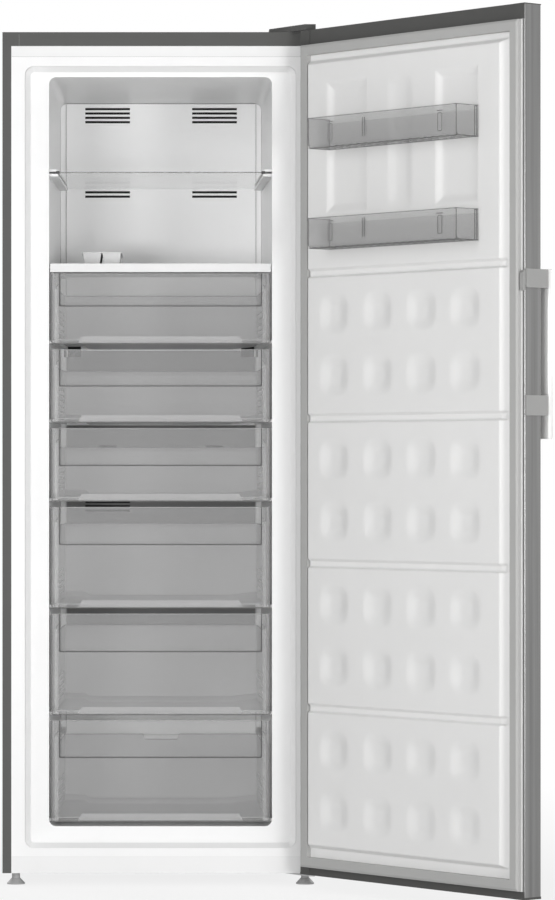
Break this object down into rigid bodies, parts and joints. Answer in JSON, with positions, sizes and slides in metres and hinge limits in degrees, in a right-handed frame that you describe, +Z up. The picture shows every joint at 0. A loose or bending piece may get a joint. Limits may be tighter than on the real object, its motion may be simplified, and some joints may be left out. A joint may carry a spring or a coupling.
{
  "type": "upright freezer",
  "caption": "Upright freezer with clear drawers, shelves, an ice tray, clear door bins and a long bar handle, its door standing open.",
  "frame": {"origin": "on the floor, under the middle of the cabinet's front edges", "axes": "+Z up, -Y towards the user, +X towards the hinge side"},
  "size_m": [1.17, 1.2373, 1.901],
  "materials": {
    "trim_grey": "satin dark grey moulding",
    "side_paint": "satin dark grey paint",
    "white_gloss": "bright white moulding",
    "liner_white": "white vacuum-formed plastic",
    "duct_white": "white moulding",
    "galvanised": "zinc-coated sheet",
    "foam": "rigid polyurethane foam",
    "aluminium_fins": "mill aluminium",
    "copper_coil": "black painted steel tube and fins",
    "motor_grey": "moulded motor case",
    "fan_white": "moulded fan wheel",
    "compressor_black": "black enamelled shell",
    "rubber_black": "moulded rubber",
    "black_plastic": "black moulding",
    "hinge_steel": "plated steel",
    "shelf_glass": "toughened clear glass",
    "shelf_white": "white moulding",
    "clear_drawer": "clear polystyrene, stood in for by glass",
    "clear_bin": "clear polystyrene, stood in for by glass",
    "steel_door": "brushed stainless steel, grain upright",
    "cap_grey": "satin dark grey moulding",
    "gasket_grey": "soft grey magnetic seal",
    "door_liner_white": "white vacuum-formed plastic",
    "handle_metal": "brushed anodised aluminium",
    "bracket_grey": "satin grey cast bracket",
    "foot_grey": "grey moulding"
  },
  "bodies": {
    "cabinet": {"side_panel_left": "side_paint", "side_panel_right": "side_paint", "top_cover": "trim_grey", "top_trim": "white_gloss", "bottom_trim": "white_gloss", "rear_panel": "galvanised", "base_plate": "galvanised", "insulation_foam": "foam", "inner_liner": "liner_white", "air_duct_cover": "duct_white", "evaporator": "aluminium_fins", "evaporator_fan_motor": "motor_grey", "compressor": "compressor_black", "compressor_grommets": "rubber_black", "compressor_terminal_box": "black_plastic", "drain_tray": "black_plastic", "condenser": "copper_coil", "mains_cord_gland": "black_plastic", "hinge_plate_upper": "hinge_steel", "hinge_plate_lower": "hinge_steel", "hinge_pins": "hinge_steel", "hinge_screws": "hinge_steel", "hinge_cover": "cap_grey", "roller_forks": "hinge_steel"},
    "door": {"door_skin": "steel_door", "door_top_cap": "cap_grey", "door_bottom_cap": "cap_grey", "hinge_bushes": "black_plastic", "door_foam": "foam", "door_liner": "door_liner_white", "door_gasket": "gasket_grey", "handle_bracket_upper": "bracket_grey", "handle_bracket_lower": "bracket_grey", "handle_fasteners": "hinge_steel"},
    "bin_upper": {"door_balcony_upper": "clear_bin"},
    "bin_lower": {"door_balcony_lower": "clear_bin"},
    "handle": {"handle_bar": "handle_metal"},
    "pusher": {"opening_pusher": "trim_grey"},
    "fan": {"evaporator_fan": "fan_white"},
    "shelf_upper": {"upper_glass_shelf": "shelf_glass", "shelf_corner_clips": "black_plastic"},
    "shelf_lower": {"lower_shelf_plate": "shelf_white", "lower_shelf_trim": "shelf_white"},
    "ice_maker_tray": {"ice_tray": "shelf_white"},
    "foot_left": {"front_foot_left": "foot_grey"},
    "foot_right": {"front_foot_right": "foot_grey"},
    "roller_left": {"rear_roller_left": "black_plastic"},
    "roller_right": {"rear_roller_right": "black_plastic"},
    "drawer_1": {"drawer_1_front": "clear_drawer", "drawer_1_tub": "clear_drawer"},
    "drawer_2": {"drawer_2_front": "clear_drawer", "drawer_2_tub": "clear_drawer"},
    "drawer_3": {"drawer_3_front": "clear_drawer", "drawer_3_tub": "clear_drawer"},
    "drawer_4": {"drawer_4_front": "clear_drawer", "drawer_4_tub": "clear_drawer"},
    "drawer_5": {"drawer_5_front": "clear_drawer", "drawer_5_tub": "clear_drawer"},
    "drawer_6": {"drawer_6_front": "clear_drawer", "drawer_6_tub": "clear_drawer"}
  },
  "joints": [
    {"name": "door_swing", "type": "hinge", "parent": "cabinet", "child": "door", "pos_m": [0.3342, -0.034, 0], "axis": [0, 0, 1], "range_deg": [-129.7, 0]},
    {"name": "handle_pull", "type": "hinge", "parent": "door", "child": "handle", "pos_m": [0.78808, -0.52435, 1.053], "axis": [-0.6388, 0.7694, 0], "range_deg": [0, 2.5], "stiffness_Nm_per_rad": 12, "springref_deg": -3.44},
    {"name": "pusher_travel", "type": "slide", "parent": "door", "child": "pusher", "axis": [-0.7694, -0.6388, 0], "range_m": [0, 0.007]},
    {"name": "bin_upper_lift", "type": "slide", "parent": "door", "child": "bin_upper", "axis": [0, 0, 1], "range_m": [0, 0.03]},
    {"name": "bin_lower_lift", "type": "slide", "parent": "door", "child": "bin_lower", "axis": [0, 0, 1], "range_m": [0, 0.03]},
    {"name": "fan_spin", "type": "hinge", "parent": "cabinet", "child": "fan", "pos_m": [0, 0.555, 0.9594], "axis": [0, 1, 0], "continuous": true},
    {"name": "shelf_upper_slide", "type": "slide", "parent": "cabinet", "child": "shelf_upper", "axis": [0, -1, 0], "range_m": [0, 0.45]},
    {"name": "shelf_lower_slide", "type": "slide", "parent": "cabinet", "child": "shelf_lower", "axis": [0, -1, 0], "range_m": [0, 0.45]},
    {"name": "ice_tray_lift", "type": "slide", "parent": "shelf_lower", "child": "ice_maker_tray", "axis": [0, 0, 1], "range_m": [0, 0.12]},
    {"name": "foot_left_screw", "type": "hinge", "parent": "cabinet", "child": "foot_left", "pos_m": [-0.321, 0.03, 0], "axis": [0, 0, -1], "continuous": true},
    {"name": "foot_right_screw", "type": "hinge", "parent": "cabinet", "child": "foot_right", "pos_m": [0.321, 0.03, 0], "axis": [0, 0, -1], "continuous": true},
    {"name": "roller_left_roll", "type": "hinge", "parent": "cabinet", "child": "roller_left", "pos_m": [-0.3, 0.61, 0.012], "axis": [1, 0, 0], "continuous": true},
    {"name": "roller_right_roll", "type": "hinge", "parent": "cabinet", "child": "roller_right", "pos_m": [0.3, 0.61, 0.012], "axis": [1, 0, 0], "continuous": true},
    {"name": "drawer_1_slide", "type": "slide", "parent": "cabinet", "child": "drawer_1", "axis": [0, -1, 0], "range_m": [0, 0.38]},
    {"name": "drawer_2_slide", "type": "slide", "parent": "cabinet", "child": "drawer_2", "axis": [0, -1, 0], "range_m": [0, 0.38]},
    {"name": "drawer_3_slide", "type": "slide", "parent": "cabinet", "child": "drawer_3", "axis": [0, -1, 0], "range_m": [0, 0.38]},
    {"name": "drawer_4_slide", "type": "slide", "parent": "cabinet", "child": "drawer_4", "axis": [0, -1, 0], "range_m": [0, 0.38]},
    {"name": "drawer_5_slide", "type": "slide", "parent": "cabinet", "child": "drawer_5", "axis": [0, -1, 0], "range_m": [0, 0.38]},
    {"name": "drawer_6_slide", "type": "slide", "parent": "cabinet", "child": "drawer_6", "axis": [0, -1, 0], "range_m": [0, 0.38]}
  ],
  "couplings": [
    {"joint": "pusher_travel", "follows": "handle_pull", "m_per_rad": 0.16}
  ]
}
